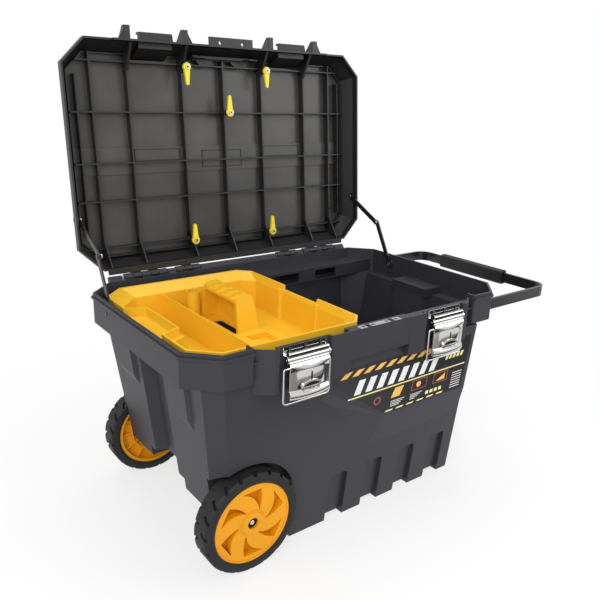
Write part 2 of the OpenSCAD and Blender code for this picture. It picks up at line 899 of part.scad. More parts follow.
module clip_screws() {
  color(chrome) open_lid() for (p = clip_places) translate([p[0], p[1], clip_z - clip_t - 2 * seat_gap]) {
    cylinder(h = clip_t + clip_post_h / 2, d = clip_screw_d);
    translate([0, 0, -screw_head_t]) cylinder(h = screw_head_t, d = 2 * clip_screw_d);
  }
}

// Folding stays

module stay_link(a, b, x, holes) {
  along_x(x, stay_t) difference() {
    hull() {
      translate(a) circle(d = stay_w, $fn = 32);
      translate(b) circle(d = stay_w, $fn = 32);
    }
    for (p = holes) translate(p) circle(d = stay_pin_d + 2 * run_fit);
  }
}

module stay_lower(side) {
  color(handle_black) mirror([side, 0, 0]) {
    stay_link(stay_body, stay_knee, stay_mid + stay_layer_gap, [stay_body]);
    rod_x(stay_out, stay_out + pin_head_t / 2, stay_knee[0], stay_knee[1], stay_w - 2);
  }
}

module stay_upper(side) {
  color(chrome) mirror([side, 0, 0]) stay_link(stay_knee, stay_lid, stay_in, [stay_knee, stay_lid]);
}

module stay_pin(x0, x1, at) {
  rod_x(x0, x1, at[0], at[1], stay_pin_d);
  rod_x(x0 - pin_head_t, x0, at[0], at[1], stay_pin_d + 4);
}

module stay_body_pins() {
  color(chrome) both_ends()
    stay_pin(stay_mid + stay_layer_gap - seat_gap, stay_out + wall - over, stay_body);
}

module stay_lid_pins() {
  color(chrome) both_ends() stay_pin(stay_in - seat_gap, stay_mid + wall, stay_lid);
}

module stay_knuckle(side) {
  color(chrome) mirror([side, 0, 0]) stay_pin(stay_in - seat_gap, stay_mid, stay_knee);
}

// Tote tray

// Plan of the tray with long chamfers at the left and short ones at the right
function tray_plan(left, right, hy, cut_left, cut_right) = [
  [left + cut_left, -hy], [right - cut_right, -hy], [right, -hy + cut_right], [right, hy - cut_right],
  [right - cut_right, hy], [left + cut_left, hy], [left, hy - cut_left], [left, -hy + cut_left]
];

function tray_rim(inset) = tray_plan(
  tray_left + inset, tray_right - inset, tray_hy - inset,
  inset_cut(tray_cut_left, inset), inset_cut(tray_cut_right, inset)
);

function tray_deep(inset) = tray_plan(
  tray_low_left + inset, tray_low_right - inset, tray_low_hy - inset,
  inset_cut(tray_cut_left, inset), inset_cut(tray_cut_right, inset)
);

// Notch round the bay, in a plan that starts at left
module tray_notch(left, depth, grow) {
  hw = notch_hw - depth / 2 + grow;
  x = left + depth + grow;
  polygon([[left - over, notch_hw + grow], [x, hw], [x, -hw], [left - over, -notch_hw - grow]]);
}

module tray_solid() {
  translate([0, 0, tray_seat]) linear_extrude(tray_top - tray_seat) difference() {
    polygon(tray_rim(0));
    tray_notch(tray_left, notch_in, 0);
  }
  translate([0, 0, tray_floor]) linear_extrude(tray_seat - tray_floor + over) difference() {
    polygon(tray_deep(0));
    tray_notch(tray_low_left, notch_low, 0);
  }
  block([tray_left, -notch_hw, tray_seat], [tray_left + notch_in + over, notch_hw, tray_seat + tray_wall]);
}

// Deep space that flares out to the rim over the rails
module tray_space() {
  difference() {
    loft(tray_seat + tray_wall, tray_deep(tray_wall), tray_top + over, tray_rim(tray_wall));
    translate([0, 0, tray_seat]) linear_extrude(tray_h) tray_notch(tray_left, notch_in, tray_wall);
  }
  translate([0, 0, tray_floor + tray_wall]) linear_extrude(tray_h) difference() {
    polygon(tray_deep(tray_wall));
    tray_notch(tray_low_left, notch_low, tray_wall);
  }
}

// Walls with a dip in the right one
module tray_shell() {
  difference() {
    tray_solid();
    tray_space();
    block(
      [tray_right - 3 * tray_wall, dip_y[0], tray_top - dip_h],
      [tray_right + over, dip_y[1], tray_top + over]
    );
  }
}

// Round ribs inside the right wall, where its top steps down
module tray_pilasters() {
  low = tray_floor + tray_wall / 2;
  intersection() {
    for (y = [dip_y[0] - pilaster_r, dip_y[1] + pilaster_r])
      translate([tray_low_right - tray_wall, y, low]) cylinder(h = tray_top - dip_h - low, r = pilaster_r);
    translate([0, 0, tray_floor]) linear_extrude(tray_h) polygon(tray_deep(tray_wall / 2));
  }
}

// Section of the carrying handle: upright on its open side, drawn in on the other
module tote_section() {
  r = 11;
  left = -tote_base_w / 2;
  hull() {
    translate([left, tray_floor + tray_wall / 2]) square([tote_base_w, tray_wall]);
    translate([left + r, tote_top - r]) circle(r, $fn = 32);
    translate([left + grip_w - r, tote_top - r]) circle(r, $fn = 32);
  }
}

// Side view of the handle, or of the space for a hand under its grip
function tote_side(plate, top) = let (
    low = tray_floor + tray_wall / 2,
    lean = tote_lean / (tote_top - low)
  ) [
  [tote_front + plate, low], [tote_back - plate, low],
  [tote_back - plate - lean * (top - low), top], [tote_front + plate + lean * (top - low) / 2, top]
];

// Carrying handle: leaning end plates, a ribbed grip and a side wall with a hand hole
module tote_handle() {
  plate = 2.5 * tray_wall;
  hand_z = tote_top - 14;
  left = tote_x - tote_base_w / 2;
  first = tote_front + tote_lean / 2 + plate;
  pitch = (tote_back - tote_lean - plate - first) / 4;
  difference() {
    intersection() {
      translate([tote_x, tote_back, 0]) rotate([90, 0, 0]) linear_extrude(tote_handle_len) tote_section();
      along_x(left - over, tote_base_w + 2 * over) polygon(tote_side(0, tote_top + over));
    }
    along_x(left - over, tote_base_w - 3.5 * tray_wall) polygon(tote_side(plate, hand_z));
    block([tote_x, first, tray_floor + tray_h / 2], [tote_x + tote_base_w, first + 2 * pitch, hand_z]);
    for (i = [0:3])
      block(
        [left - over, first + i * pitch + 3, tote_top - 9],
        [left + 0.7 * grip_w, first + (i + 1) * pitch - 9, tote_top + over]
      );
  }
}

// Long divider, raised floor at the front with a pocket in it and a pot by the handle
module tray_dividers() {
  low = tray_floor + tray_wall / 2;
  hy = tray_low_hy - tray_wall / 2;
  block([divider_x, -hy, low], [divider_x + tray_wall, hy, tray_seat]);
  difference() {
    block([divider_x, -hy, low], [tote_x + tote_base_w, tote_front + tray_wall, tray_floor + deck_h]);
    block(
      [tote_x - deck_pocket_left, tote_front - deck_pocket_front, tray_floor + tray_wall],
      [tote_x + deck_pocket_right, tote_front - deck_pocket_back, tray_top]
    );
  }
  translate([tote_x - pot_left, tote_back - pot_back, low]) difference() {
    cylinder(h = tray_seat + 6 - low, r = pot_r);
    translate([0, 0, tray_wall]) cylinder(h = tray_h, r = pot_r - tray_wall);
  }
}

module tote_tray() {
  color(tray_yellow) difference() {
    union() {
      tray_shell();
      tray_pilasters();
      tote_handle();
      tray_dividers();
    }
    block(
      [tote_x - hand_slot_left, tote_front + hand_slot_front, tray_floor - over],
      [tote_x + hand_slot_right, tote_back - hand_slot_back, tray_floor + tray_wall + over]
    );
  }
}

// Pull handle

// Plan of the bar's outer edge, or of the space inside it, from the arms' ends to the crossbar
module bar_plan(inset) {
  r = bend_r - inset;
  start = bar_end - inset;
  bend_x = bar_reach - bend_r;
  bend_y = bar_y + bar_t / 2 - bend_r;
  translate([start, -bend_y - r]) square([bend_x - start, 2 * (bend_y + r)]);
  translate([start, -bend_y]) square([bend_x + r - start, 2 * bend_y]);
  for (y = [-bend_y, bend_y]) translate([bend_x, y]) circle(r = r);
}

module handle_bar() {
  color(handle_black) difference() {
    translate([0, 0, bar_z - bar_h / 2]) linear_extrude(bar_h) difference() {
      bar_plan(0);
      bar_plan(bar_t);
    }
    both_sides() rod_y(bar_y - bar_t, bar_y + bar_t, stop_x, bar_z, stop_d + 2 * run_fit);
  }
}

module handle_stop_pins() {
  color(chrome) both_sides() rod_y(bar_y - bar_t, bar_y + bar_t, stop_x, bar_z, stop_d);
}

module handle_grip() {
  at = [bar_reach - bar_t / 2, sleeve_y + sleeve_len / 2, bar_z];
  color(dark_grey) translate(at) rotate([90, 0, 0]) linear_extrude(sleeve_len) difference() {
    offset(r = 6) square([bar_t + 2, bar_h - 2], center = true);
    square([bar_t + 2 * seat_gap, bar_h + 2 * seat_gap], center = true);
    translate([0, bar_h / 2 + 4]) square([bar_t - 2, 8], center = true);
  }
}

// Wheels, made for the front wheel with its outer face toward -Y

module pocket(swirl) {
  r0 = 25;
  r1 = hub_d / 2 - 10;
  steps = 6;
  function turn(r) = swirl * (r - r0) / (r1 - r0);
  function edge(r, half) = [r * cos(turn(r) + half), r * sin(turn(r) + half)];
  polygon(concat(
    [for (i = [0:steps]) let (r = r0 + (r1 - r0) * i / steps) edge(r, -2 - 15 * i / steps)],
    [for (i = [steps:-1:0]) let (r = r0 + (r1 - r0) * i / steps) edge(r, 2 + 15 * i / steps)]
  ));
}

// Turned to the wheel's axis, with z measured inward from the outer face
module at_wheel() {
  translate([-axle_x, -wheel_face, axle_z]) rotate([-90, 0, 0]) children();
}

module wheel_hub() {
  rim_w = wheel_w - 6;
  web = 21;
  at_wheel() difference() {
    union() {
      translate([0, 0, 3]) difference() {
        cylinder(h = rim_w, d = hub_d);
        translate([0, 0, web]) cylinder(h = rim_w, d = hub_d - 12);
      }
      translate([0, 0, 1]) cylinder(h = wheel_w, r = 20);
      for (i = [0:11]) rotate(i * 30) translate([15, -1.5, web]) cube([hub_d / 2 - 18, 3, rim_w - web - 4]);
      translate([0, 0, web]) difference() {
        cylinder(h = rim_w - web - 2, r = hub_d / 3.2);
        translate([0, 0, -over]) cylinder(h = rim_w, r = hub_d / 3.2 - 3);
      }
    }
    for (i = [0:5]) rotate(i * 60) translate([0, 0, -over]) linear_extrude(web - 3 + over) pocket(-32);
    translate([0, 0, -over]) cylinder(h = hub_recess + over, d = axle_d + 8);
    translate([0, 0, -over]) cylinder(h = wheel_w + 3 * over, d = axle_d + 2 * run_fit);
  }
}

module wheel_tyre() {
  r = wheel_r;
  depth = 4;
  groove = 6;
  shoulder = 4;
  start = shoulder - 2;
  reach = wheel_w * 0.48 - start;
  at_wheel() difference() {
    rotate_extrude($fn = 96) polygon([
      [hub_d / 2 + run_fit, 1.5], [r - 12, 0], [r - 3, 1], [r, shoulder], [r, wheel_w - shoulder],
      [r - 3, wheel_w - 1], [r - 12, wheel_w], [hub_d / 2 + run_fit, wheel_w - 1.5]
    ]);
    for (i = [0:lug_count - 1]) rotate(i * 360 / lug_count) {
      translate([r - depth, 0, start]) rotate([-28, 0, 0]) cube([2 * depth, groove, reach]);
      rotate(180 / lug_count) translate([r - depth, 0, wheel_w - start]) rotate([28, 0, 0])
        translate([0, 0, -reach]) cube([2 * depth, groove, reach]);
    }
  }
}

module front_wheel_hub() {
  color(hub_yellow) wheel_hub();
}

module rear_wheel_hub() {
  color(hub_yellow) mirror([0, 1, 0]) wheel_hub();
}

module front_wheel_tyre() {
  color(tyre_black) wheel_tyre();
}

module rear_wheel_tyre() {
  color(tyre_black) mirror([0, 1, 0]) wheel_tyre();
}

module axle() {
  end = wheel_face - hub_recess + push_nut_t;
  color(chrome) rod_y(-end, end, -axle_x, axle_z, axle_d);
}

module axle_push_nuts() {
  y = wheel_face - hub_recess + seat_gap;
  color(chrome) both_sides() difference() {
    rod_y(-y - push_nut_t + over, -y, -axle_x, axle_z, axle_d + 6);
    rod_y(-y - push_nut_t, -y + over, -axle_x, axle_z, axle_d + 2 * run_fit);
  }
}

// Latches, left and right of the middle

module at_latch(side) {
  translate([side * latch_x, pin_y, pin_z]) children();
}

module latch_screw_holes() {
  for (x = screw_places)
    rod_y(-latch_face - over, -latch_face + 2 * wall, latch_x + x, pin_z + screw_up, screw_d + 2 * run_fit);
}

// Plate in the pocket with two ears for the pin and a round-nosed bar above it
module latch_base(side) {
  color(chrome) at_latch(side) difference() {
    union() {
      block([-base_hw, plate_y - plate_t, -ear_r], [base_hw, plate_y, base_up]);
      for (x = [-ear_in - ear_t, ear_in]) {
        rod_x(x, x + ear_t, 0, 0, 2 * ear_r);
        block([x, 0, -ear_r], [x + ear_t, plate_y - plate_t / 2, ear_r]);
      }
      block(
        [-lever_hw, -1, bar_up - bar_nose / 2],
        [lever_hw, plate_y - plate_t / 2, bar_up + bar_nose / 2]
      );
      rod_x(-lever_hw, lever_hw, -1, bar_up, bar_nose);
    }
    rod_x(-base_hw - over, base_hw + over, 0, 0, lever_pin_d + 2 * run_fit);
    for (x = screw_places)
      rod_y(plate_y - plate_t - over, plate_y + over, x, screw_up, screw_d + 2 * run_fit);
  }
}

module latch_screws() {
  head_y = plate_y - plate_t - seat_gap;
  color(chrome) for (side = [-1, 1]) at_latch(side) for (x = screw_places) {
    rod_y(head_y, plate_y + wall + over, x, screw_up, screw_d);
    rod_y(head_y - 2, head_y, x, screw_up, 1.75 * screw_d);
  }
}

module lever_pin(side) {
  color(chrome) at_latch(side) rod_x(-base_hw - 0.5, base_hw + 0.5, 0, 0, lever_pin_d);
}

// Stamped lever: barrel, curved shoulder, plate, raised lock field, thumb lip and rounded foot
module latch_lever(side) {
  barrel_d = lever_pin_d + 5;
  field_hw = lever_hw * 0.62;
  field_top = -18;
  field_low = -lever_len + 17;
  color(chrome) at_latch(side) difference() {
    union() {
      rod_x(-lever_hw, lever_hw, 0, 0, barrel_d);
      block([-lever_hw, -lever_front, -lever_len], [lever_hw, -lever_front + plate_t, -4]);
      along_x(-lever_hw, lever_w) polygon([
        [-barrel_d / 2 + 0.2, 0], [-barrel_d / 2, -3], [-lever_front - 2.5, -10], [-lever_front - 2, -13],
        [-lever_front, -16], [-lever_front + plate_t, -12], [0, -barrel_d / 2 + 0.2]
      ]);
      block([-field_hw, -lever_front - 2.5, field_low], [field_hw, -lever_front + over, field_top]);
      thumb_lip(field_low);
      along_x(-lever_hw, lever_w) polygon([
        [-lever_front + plate_t, -lever_len + 14], [-lever_front - 2, -lever_len + 12],
        [-lever_front - 4, -lever_len + 6], [-lever_front - 2, -lever_len],
        [-lever_front + plate_t, -lever_len]
      ]);
      for (x = [-lever_hw, lever_hw - flange_t])
        block([x, -lever_front, -lever_len + 4], [x + flange_t, 4, -8]);
    }
    rod_x(-lever_hw - over, lever_hw + over, 0, 0, lever_pin_d + 2 * run_fit);
    rod_x(-lever_hw - over, lever_hw + over, 0, -bail_drop, wire_d + 2 * run_fit);
    block([-1.6, -lever_front - 4, field_low + 10], [1.6, -lever_front + plate_t + over, field_top - 4]);
  }
}

// Half-round lip to lift the lever by
module thumb_lip(z) {
  lip_r = lever_hw * 0.48;
  translate([0, -lever_front, z - 2]) intersection() {
    rotate([30, 0, 0]) translate([0, 0, -1]) cylinder(h = 3, r = lip_r);
    block([-lip_r, -10, -4], [lip_r, plate_t / 2, 12]);
  }
}

// Wire loop that hangs from the lever's flanges
module latch_bail(side) {
  foot = -bail_drop - bail_len;
  color(chrome) at_latch(side) for (s = [0, 1]) mirror([s, 0, 0]) {
    rod_x(lever_hw - 5, bail_hx - bail_corner / 2, 0, -bail_drop, wire_d);
    translate([bail_hx - bail_corner / 2, 0, -bail_drop - bail_corner / 2]) wire_elbow(bail_corner / 2, 0);
    translate([bail_hx, 0, foot + bail_corner]) cylinder(h = bail_len - 1.5 * bail_corner, d = wire_d);
    translate([bail_hx - bail_corner, 0, foot + bail_corner]) wire_elbow(bail_corner, 1);
    rod_x(-over, bail_hx - bail_corner, 0, foot, wire_d);
  }
}

// Quarter bend of the wire in the plane y = 0, turning up or down from +X
module wire_elbow(radius, down) {
  mirror([0, 0, down]) rotate([90, 0, 0])
    rotate_extrude(angle = 90) translate([radius, 0]) circle(d = wire_d);
}

chest_tub();
lid_shell();
hinge_pin(1);  // hinge_pin_left
hinge_pin(0);  // hinge_pin_right
tote_tray();
handle_bar();
handle_grip();
handle_stop_pins();
axle();
axle_push_nuts();
front_wheel_hub();
front_wheel_tyre();
rear_wheel_hub();
rear_wheel_tyre();
latch_base(-1);  // latch_base_left
latch_base(1);  // latch_base_right
latch_screws();
lever_pin(-1);  // lever_pin_left
lever_pin(1);  // lever_pin_right
latch_lever(-1);  // latch_lever_left
latch_lever(1);  // latch_lever_right
latch_bail(-1);  // latch_bail_left
latch_bail(1);  // latch_bail_right
stay_lower(1);  // stay_lower_left
stay_lower(0);  // stay_lower_right
stay_upper(1);  // stay_upper_left
stay_upper(0);  // stay_upper_right
stay_body_pins();
stay_lid_pins();
stay_knuckle(1);  // stay_knuckle_left
stay_knuckle(0);  // stay_knuckle_right
turn_clip(clip_places[0]);  // lid_clip_1
turn_clip(clip_places[1]);  // lid_clip_2
turn_clip(clip_places[2]);  // lid_clip_3
turn_clip(clip_places[3]);  // lid_clip_4
turn_clip(clip_places[4]);  // lid_clip_5
clip_screws();
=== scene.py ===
"""Rolling tool chest: materials, moulded detail, label, light and camera over the CAD frame."""

import math

import bpy
import bmesh
from mathutils import Matrix, Vector


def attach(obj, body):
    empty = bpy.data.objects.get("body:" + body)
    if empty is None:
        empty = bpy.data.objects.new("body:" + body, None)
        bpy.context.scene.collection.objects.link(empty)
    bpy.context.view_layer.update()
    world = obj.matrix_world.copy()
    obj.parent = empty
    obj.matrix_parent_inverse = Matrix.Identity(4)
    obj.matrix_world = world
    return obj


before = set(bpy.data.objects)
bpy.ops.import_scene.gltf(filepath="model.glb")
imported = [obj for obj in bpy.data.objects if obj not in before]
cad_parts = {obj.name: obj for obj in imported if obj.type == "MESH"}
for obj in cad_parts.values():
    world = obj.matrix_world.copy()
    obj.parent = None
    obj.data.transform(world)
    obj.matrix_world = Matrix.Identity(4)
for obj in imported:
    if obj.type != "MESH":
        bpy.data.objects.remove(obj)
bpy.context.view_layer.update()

MM = 0.001
SIDES = ((-1, "left"), (1, "right"))

# Sizes shared with the CAD, in millimetres
RIM_HX = 345.0
FRONT_Z = 388.0
COLLAR_Z = 338.0
TUB_FOOT_Y = 169.5
SIDE_DRAFT = 35.0
PANEL_OUT = 6.0
HINGE = Vector((0.0, 226.0, 396.0))
LID_OPEN = math.radians(95)
LID_PANEL_Z = 445.0
LID_HY = 209.5
LID_RIBS = (-280, -208, -94, 0, 94, 208, 280)
RIB_H = 16.0
RIB_T = 2.6
HORN_X = 58.6
HORN_OUT = 24.0
LATCH_X = 158.0
PIN_Y = -224.5
PIN_Z = 369.0
LEVER_HW = 38.0
BAR_UP = 8.4
WHEEL = Vector((-239.0, 0.0, 88.0))
WHEEL_FACE = 204.0
HUB_R = 71.0
NUT_R = 9.0
AXLE_END = -5.0
HANDLE_X = 534.0
HANDLE_Z = 354.0
SLEEVE_Y = 22.0
SLEEVE_LEN = 182.0
PADLOCK_X = 26.0
PADLOCK_Y = -214.2
SCREW_UP = 15.0
STAY_Y = 105.0
STAY_Z = 372.0
LID_TAPER_Z = 408.5
CLIP_SCREW_Z = 401.1
CLIPS = ((-94, -168), (94, -168), (0, -83), (-96, 172), (98, 172))

# Sizes of the detail added here, in millimetres
LID_WALL_Y = 207.7
LID_RIB_HX = 320.0
RAIL_R = 5.0
LEVER_BOW = 5.0
LEVER_BACK = 5.4
FIELD_UP = 0.5
FIELD_HW = 24.5
FIELD_OUT = 11.8
LIP_Z = -45.0
AXLE_END_R = 4.4
GUSSET_Z = 400.5
SHOULDER_LOW = 395.2
SHOULDER_HIGH = 402.0
TONGUE_HX = 67
TONGUE_ROOT_Y = -194
TONGUE_STEP_Y = -185
TONGUE_TIP_Y = -171
RAIL_BACK_Y = 211.5
RAIL_FOOT_Z = 370
RAIL_SEAT_Z = 391.5
RAIL_SPANS = ((-95, 95), (153.5, 170), (-170, -153.5), (266, 292), (-292, -266))


# Placing

def shift(x, y, z):
    """Matrix that moves by millimetres."""
    return Matrix.Translation(Vector((x, y, z)) * MM)


def turn(degrees, axis):
    return Matrix.Rotation(math.radians(degrees), 4, axis)


def open_lid():
    """Matrix that carries the closed lid, in millimetres times MM, to its open place."""
    there = Matrix.Translation(HINGE * MM)
    return there @ Matrix.Rotation(-LID_OPEN, 4, "X") @ there.inverted()


def front_wall():
    """Frame on the raised front panel: x along the chest, y up the wall, z outward."""
    lean = math.atan2(SIDE_DRAFT, COLLAR_Z)
    upright = Matrix.Rotation(lean, 4, "X") @ turn(90, "X")
    return shift(0, -TUB_FOOT_Y, 0) @ upright @ shift(0, 0, PANEL_OUT)


# Building

def new_piece(name, mesh_maker, material, body, place=Matrix.Identity(4), round_mm=0.0):
    """Piece made by mesh_maker in millimetres, put in place and carried by a body."""
    work = bmesh.new()
    mesh_maker(work)
    bmesh.ops.recalc_face_normals(work, faces=work.faces)
    bmesh.ops.scale(work, vec=(MM, MM, MM), verts=work.verts)
    bmesh.ops.transform(work, matrix=place, verts=work.verts)
    mesh = bpy.data.meshes.new(name)
    work.to_mesh(mesh)
    work.free()
    piece = bpy.data.objects.new(name, mesh)
    bpy.context.scene.collection.objects.link(piece)
    mesh.materials.append(material)
    if round_mm:
        soften(piece, round_mm)
    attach(piece, body)
    return piece


def soften(piece, width_mm):
    """Rounded edges and even shading."""
    for polygon in piece.data.polygons:
        polygon.use_smooth = True
    edge = piece.modifiers.new("edge", "BEVEL")
    edge.width = width_mm * MM
    edge.segments = 2
    edge.limit_method = "ANGLE"
    edge.angle_limit = math.radians(32)
    edge.harden_normals = True


def skin(work, loops):
    """Faces between neighbouring loops of points."""
    for a, b in zip(loops, loops[1:]):
        for i in range(len(a)):
            j = (i + 1) % len(a)
            work.faces.new((a[i], a[j], b[j], b[i]))


def solid(work, loops):
    """Closed solid through a stack of loops."""
    work.faces.new(loops[0][::-1])
    work.faces.new(loops[-1])
    skin(work, loops)


def prism(work, outline, z0, z1):
    """Closed prism of an outline between two heights."""
    solid(work, [[work.verts.new((x, y, z)) for x, y in outline] for z in (z0, z1)])


def across(work, outline, x0, x1):
    """Closed prism along the chest of an outline given in y and z."""
    solid(work, [[work.verts.new((x, y, z)) for y, z in outline] for x in (x0, x1)])


def brick(work, low, high):
    """Box between two corners."""
    corners = [(low[0], low[1]), (high[0], low[1]), (high[0], high[1]), (low[0], high[1])]
    prism(work, corners, low[2], high[2])


def slant(work, x, y, width, height, lean, z0, z1):
    """Parallelogram whose top leans to the right."""
    outline = [(x, y), (x + width, y), (x + width + lean, y + height), (x + lean, y + height)]
    prism(work, outline, z0, z1)


def disc(work, x, y, radius, z0, z1, sides=32):
    prism(work, circle(x, y, radius, sides), z0, z1)


def circle(x, y, radius, sides=32):
    step = 2 * math.pi / sides
    return [(x + radius * math.cos(i * step), y + radius * math.sin(i * step)) for i in range(sides)]


def ring(work, inner, outer, z0, z1, sides=96, x=0.0, y=0.0):
    """Flat ring about an axis along z."""
    loops = [[work.verts.new((*point, z)) for point in circle(x, y, r, sides)]
             for r, z in ((inner, z0), (outer, z0), (outer, z1), (inner, z1))]
    skin(work, loops + loops[:1])


def dome(work, radius, height, z0, sides=32):
    """Rounded button about an axis along z."""
    loops = []
    for a in (math.radians(18 * i) for i in range(5)):
        rim = circle(0, 0, radius * math.cos(a), sides)
        loops.append([work.verts.new((x, y, z0 + height * math.sin(a))) for x, y in rim])
    solid(work, loops)


# Materials

def shader(name):
    """New material with its surface shader and node tree."""
    material = bpy.data.materials.new(name)
    material.use_nodes = True
    tree = material.node_tree
    return material, tree, tree.nodes["Principled BSDF"]


def noise(tree, scale, detail=3.0):
    """Noise that stays with the object."""
    place = tree.nodes.new("ShaderNodeTexCoord")
    pattern = tree.nodes.new("ShaderNodeTexNoise")
    pattern.inputs["Scale"].default_value = scale
    pattern.inputs["Detail"].default_value = detail
    tree.links.new(place.outputs["Object"], pattern.inputs["Vector"])
    return pattern


def spread(tree, value, low, high):
    """Value from 0.3 to 0.7 mapped to another range."""
    mapped = tree.nodes.new("ShaderNodeMapRange")
    mapped.inputs["From Min"].default_value = 0.3
    mapped.inputs["From Max"].default_value = 0.7
    mapped.inputs["To Min"].default_value = low
    mapped.inputs["To Max"].default_value = high
    tree.links.new(value, mapped.inputs["Value"])
    return mapped.outputs["Result"]


def tinted(tree, value, colour, amount):
    """Colour that varies a little with a value."""
    ramp = tree.nodes.new("ShaderNodeValToRGB")
    ramp.color_ramp.elements[0].position = 0.3
    ramp.color_ramp.elements[1].position = 0.7
    ramp.color_ramp.elements[0].color = (*[c * (1 - amount) for c in colour], 1)
    ramp.color_ramp.elements[1].color = (*[min(1, c * (1 + amount)) for c in colour], 1)
    tree.links.new(value, ramp.inputs["Fac"])
    return ramp.outputs["Color"]


def bumped(tree, value, depth_mm):
    bump = tree.nodes.new("ShaderNodeBump")
    bump.inputs["Strength"].default_value = 1.0
    bump.inputs["Distance"].default_value = depth_mm * MM
    tree.links.new(value, bump.inputs["Height"])
    return bump.outputs["Normal"]


def moulded(name, colour, rough, grain, depth_mm, vary=0.06, shine=0.5):
    """Surface with broad uneven tone, uneven sheen and a fine grain."""
    material, tree, surface = shader(name)
    broad = noise(tree, 9.0).outputs["Fac"]
    fine = noise(tree, grain, 4.0).outputs["Fac"]
    tree.links.new(tinted(tree, broad, colour, vary), surface.inputs["Base Color"])
    tree.links.new(spread(tree, broad, rough - 0.02, rough + 0.02), surface.inputs["Roughness"])
    tree.links.new(bumped(tree, fine, depth_mm), surface.inputs["Normal"])
    surface.inputs["Specular IOR Level"].default_value = shine
    return material


def faded(name, left, right, rough, shine):
    """Film whose colour runs from left to right along the chest's front."""
    material, tree, surface = shader(name)
    place = tree.nodes.new("ShaderNodeTexCoord")
    split = tree.nodes.new("ShaderNodeSeparateXYZ")
    along = tree.nodes.new("ShaderNodeMapRange")
    along.inputs["From Min"].default_value = -0.09
    along.inputs["From Max"].default_value = 0.13
    blend = tree.nodes.new("ShaderNodeMix")
    blend.data_type = "RGBA"
    blend.inputs["A"].default_value = (*left, 1)
    blend.inputs["B"].default_value = (*right, 1)
    tree.links.new(place.outputs["Object"], split.inputs["Vector"])
    tree.links.new(split.outputs["X"], along.inputs["Value"])
    tree.links.new(along.outputs["Result"], blend.inputs["Factor"])
    tree.links.new(blend.outputs["Result"], surface.inputs["Base Color"])
    surface.inputs["Roughness"].default_value = rough
    surface.inputs["Specular IOR Level"].default_value = shine
    return material


def brushed(name, colour, rough, vary):
    """Metal with fine scratches along one direction."""
    material, tree, surface = shader(name)
    place = tree.nodes.new("ShaderNodeTexCoord")
    stretch = tree.nodes.new("ShaderNodeMapping")
    stretch.inputs["Scale"].default_value = (40, 900, 900)
    pattern = tree.nodes.new("ShaderNodeTexNoise")
    pattern.inputs["Scale"].default_value = 1.0
    pattern.inputs["Detail"].default_value = 2.0
    scratches = pattern.outputs["Fac"]
    tree.links.new(place.outputs["Object"], stretch.inputs["Vector"])
    tree.links.new(stretch.outputs["Vector"], pattern.inputs["Vector"])
    tree.links.new(tinted(tree, scratches, colour, 0.03), surface.inputs["Base Color"])
    tree.links.new(spread(tree, scratches, rough, rough + vary), surface.inputs["Roughness"])
    surface.inputs["Metallic"].default_value = 1.0
    return material


charcoal = moulded("charcoal_plastic", (0.030, 0.030, 0.038), 0.48, 900, 0.05, 0.06, 0.35)
black = moulded("black_plastic", (0.015, 0.015, 0.016), 0.40, 900, 0.05, 0.08, 0.45)
# Painted sheen: paler, strongly uneven copy of the black plastic for the lid's inner panel.
painted_sheen = moulded("lid_panel_sheen", (0.054, 0.052, 0.049), 0.32, 420, 0.08, 0.34, 0.45)
yellow = moulded("yellow_plastic", (0.86, 0.50, 0.022), 0.40, 700, 0.03, 0.03)
orange = moulded("orange_plastic", (0.80, 0.335, 0.003), 0.36, 700, 0.03, 0.04, 0.25)
clip_yellow = moulded("clip_plastic", (0.90, 0.72, 0.004), 0.30, 700, 0.02, 0.03)
rubber = moulded("tyre_rubber", (0.016, 0.016, 0.017), 0.62, 420, 0.12, 0.12, 0.3)
grip_rubber = moulded("grip_rubber", (0.012, 0.012, 0.013), 0.50, 800, 0.06, 0.08, 0.4)
paint = moulded("black_paint", (0.010, 0.010, 0.011), 0.30, 260, 0.02, 0.06)
chrome = brushed("bright_plate", (0.62, 0.61, 0.59), 0.10, 0.06)
steel = brushed("zinc_plate", (0.50, 0.50, 0.52), 0.26, 0.14)
dark_steel = brushed("dark_zinc", (0.10, 0.10, 0.11), 0.30, 0.12)
label_dark = faded("label_film", (0.034, 0.034, 0.040), (0.006, 0.006, 0.007), 0.42, 0.25)
label_white = moulded("label_white", (0.80, 0.80, 0.82), 0.40, 500, 0.01, 0.02, 0.3)
label_gold = moulded("label_gold", (0.86, 0.50, 0.10), 0.40, 500, 0.01, 0.03, 0.3)
label_pale = moulded("label_pale", (0.90, 0.80, 0.34), 0.40, 500, 0.01, 0.03, 0.3)
label_red = moulded("label_red", (0.36, 0.08, 0.08), 0.40, 500, 0.01, 0.03, 0.3)
# Painted highlight: pale grey for the lit top of the padlock ledge.
highlight_grey = moulded("highlight_grey", (0.36, 0.36, 0.38), 0.45, 700, 0.02, 0.04)
card_grey = moulded("card_grey", (0.26, 0.25, 0.24), 0.70, 500, 0.02, 0.10, 0.2)
# Near-black for painted shade in gaps, slots, the hub centre and screw crosses, for the printed padlock
# arrows and for the dark reflection card.
shade_and_print_black = moulded("painted_shade_and_print", (0.006, 0.006, 0.006), 0.70, 500, 0.02, 0.10, 0.2)


def dress_cad():
    """Gives every CAD node its material and rounds its edges."""
    kinds = [
        ("chest_tub", charcoal, 1.0), ("lid_shell", black, 0.7), ("tote_tray", yellow, 0.8),
        ("handle_bar", paint, 0.8), ("handle_grip", grip_rubber, 1.2),
        ("wheel_hub", orange, 0.8), ("wheel_tyre", rubber, 0.8),
        ("latch_screws", dark_steel, 0.3), ("latch_", chrome, 0.4), ("lid_clip", clip_yellow, 0.6),
        ("stay_lower", paint, 0.4), ("stay_upper", paint, 0.4), ("", steel, 0.3),
    ]
    for name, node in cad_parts.items():
        material, width = next((m, w) for key, m, w in kinds if key in name)
        node.data.materials.clear()
        node.data.materials.append(material)
        soften(node, width)


